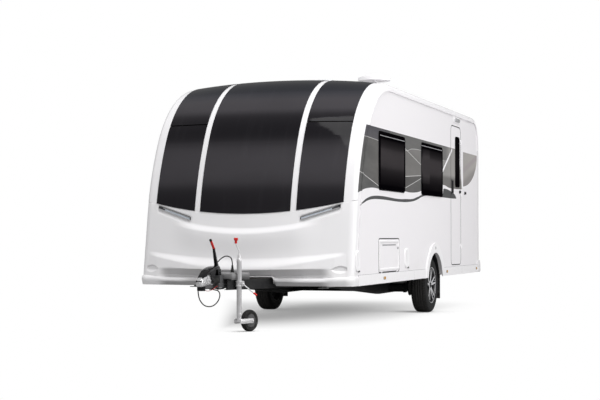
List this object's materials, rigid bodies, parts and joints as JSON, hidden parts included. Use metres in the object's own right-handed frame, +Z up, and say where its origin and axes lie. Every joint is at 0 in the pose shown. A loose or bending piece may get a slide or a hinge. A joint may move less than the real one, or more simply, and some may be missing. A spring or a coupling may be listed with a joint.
{
  "type": "single-axle touring caravan",
  "caption": "White single-axle touring caravan with a raked dark-glazed front, side windows, entrance door, drawbar with overrun coupling, jockey wheel and corner steadies.",
  "frame": {"origin": "on the ground, midway between coupling nose and rear bumper, on the centre line", "axes": "+X to the entrance-door side, -Y towards the towing vehicle, +Z up"},
  "size_m": [2.292, 7.5, 2.718],
  "materials": {
    "white_shell": "gloss",
    "white_wall": "gloss",
    "dark_glazing": "gloss",
    "window_pane": "gloss",
    "roof_dome": "gloss",
    "grey_trim": "satin",
    "black_trim": "satin",
    "alloy_rail": "satin",
    "galvanised_steel": "matt",
    "black_steel": "satin",
    "bright_steel": "satin",
    "floor_board": "matt",
    "tyre_rubber": "matt",
    "wheel_alloy": "satin",
    "cast_drum": "matt",
    "red_lens": "gloss",
    "clear_lens": "gloss",
    "amber_lens": "gloss",
    "soft_rubber": "matt",
    "jockey_rubber": "matt",
    "red_cable": "satin"
  },
  "bodies": {
    "shell": {"front_moulding": "white_shell", "front_lower_panel": "white_shell", "roof": "white_shell", "rear_panel": "white_shell", "floor": "floor_board", "side_wall_nearside": "white_wall", "side_wall_offside": "white_wall", "front_window_centre": "dark_glazing", "front_side_glazing": "dark_glazing", "side_windows": "window_pane", "rooflights": "roof_dome", "bumpers": "white_shell", "side_skirts": "white_shell", "wheel_arches": "white_shell", "wheel_wells": "black_trim", "awning_rails": "alloy_rail", "rear_lamps": "red_lens", "side_lamps": "amber_lens", "front_lamps": "clear_lens", "corner_pods": "white_shell", "tv_aerial": "white_shell", "fridge_vents": "white_shell", "door_hinges": "grey_trim", "chassis_rails": "black_steel", "drawbar_rails": "black_steel", "axle_tube": "black_steel", "trailing_arms": "black_steel", "mudflaps": "soft_rubber", "steady_brackets": "galvanised_steel", "coupling_head": "bright_steel", "coupling_handle": "black_steel", "overrun_housing": "black_steel", "overrun_bellows": "soft_rubber", "handbrake_lever": "black_steel", "drawbar_cover": "grey_trim", "jockey_outer_tube": "bright_steel", "jockey_clamp": "bright_steel", "electric_cable": "soft_rubber", "breakaway_cable": "red_cable", "cable_ends": "soft_rubber"},
    "door": {"entrance_door": "white_wall", "door_window": "window_pane", "door_fittings": "grey_trim"},
    "locker_door": {"side_locker_door": "white_wall"},
    "cassette_hatch": {"cassette_hatch": "white_wall"},
    "steady_front_nearside": {"steady_leg_front_nearside": "galvanised_steel"},
    "steady_front_offside": {"steady_leg_front_offside": "galvanised_steel"},
    "steady_rear_nearside": {"steady_leg_rear_nearside": "galvanised_steel"},
    "steady_rear_offside": {"steady_leg_rear_offside": "galvanised_steel"},
    "wheel_nearside": {"tyre_nearside": "tyre_rubber", "rim_nearside": "wheel_alloy", "brake_drum_nearside": "cast_drum"},
    "wheel_offside": {"tyre_offside": "tyre_rubber", "rim_offside": "wheel_alloy", "brake_drum_offside": "cast_drum"},
    "jockey_tube": {"jockey_inner_tube": "bright_steel"},
    "jockey_fork": {"jockey_fork": "bright_steel"},
    "jockey_wheel": {"jockey_wheel": "jockey_rubber"}
  },
  "joints": [
    {"name": "wheel_spin_nearside", "type": "hinge", "parent": "shell", "child": "wheel_nearside", "pos_m": [0.995, 0.95, 0.327], "axis": [1, 0, 0], "continuous": true},
    {"name": "wheel_spin_offside", "type": "hinge", "parent": "shell", "child": "wheel_offside", "pos_m": [-0.995, 0.95, 0.327], "axis": [1, 0, 0], "continuous": true},
    {"name": "entrance_door_hinge", "type": "hinge", "parent": "shell", "child": "door", "pos_m": [1.136, 2.44, 1.45], "axis": [0, 0, 1], "range_deg": [0, 165]},
    {"name": "side_locker_hinge", "type": "hinge", "parent": "shell", "child": "locker_door", "pos_m": [1.132, -1.195, 0.5425], "axis": [0, 1, 0], "range_deg": [0, 95]},
    {"name": "cassette_hatch_hinge", "type": "hinge", "parent": "shell", "child": "cassette_hatch", "pos_m": [-1.132, 2.84, 0.5575], "axis": [0, -1, 0], "range_deg": [0, 95]},
    {"name": "jockey_slide", "type": "slide", "parent": "shell", "child": "jockey_tube", "axis": [0, 0, -1], "range_m": [0, 0.2]},
    {"name": "jockey_swivel", "type": "hinge", "parent": "jockey_tube", "child": "jockey_fork", "pos_m": [0.17, -3.15, 0.112], "axis": [0, 0, 1], "continuous": true},
    {"name": "jockey_wheel_spin", "type": "hinge", "parent": "jockey_fork", "child": "jockey_wheel", "pos_m": [0.2213, -3.00905, 0.105], "axis": [0.9397, -0.342, 0], "continuous": true},
    {"name": "steady_hinge_front_nearside", "type": "hinge", "parent": "shell", "child": "steady_front_nearside", "pos_m": [0.7, -1.74, 0.418], "axis": [1, 0, 0], "range_deg": [0, 65]},
    {"name": "steady_hinge_front_offside", "type": "hinge", "parent": "shell", "child": "steady_front_offside", "pos_m": [-0.7, -1.74, 0.418], "axis": [1, 0, 0], "range_deg": [0, 65]},
    {"name": "steady_hinge_rear_nearside", "type": "hinge", "parent": "shell", "child": "steady_rear_nearside", "pos_m": [0.7, 2.96, 0.418], "axis": [-1, 0, 0], "range_deg": [0, 65]},
    {"name": "steady_hinge_rear_offside", "type": "hinge", "parent": "shell", "child": "steady_rear_offside", "pos_m": [-0.7, 2.96, 0.418], "axis": [-1, 0, 0], "range_deg": [0, 65]}
  ]
}
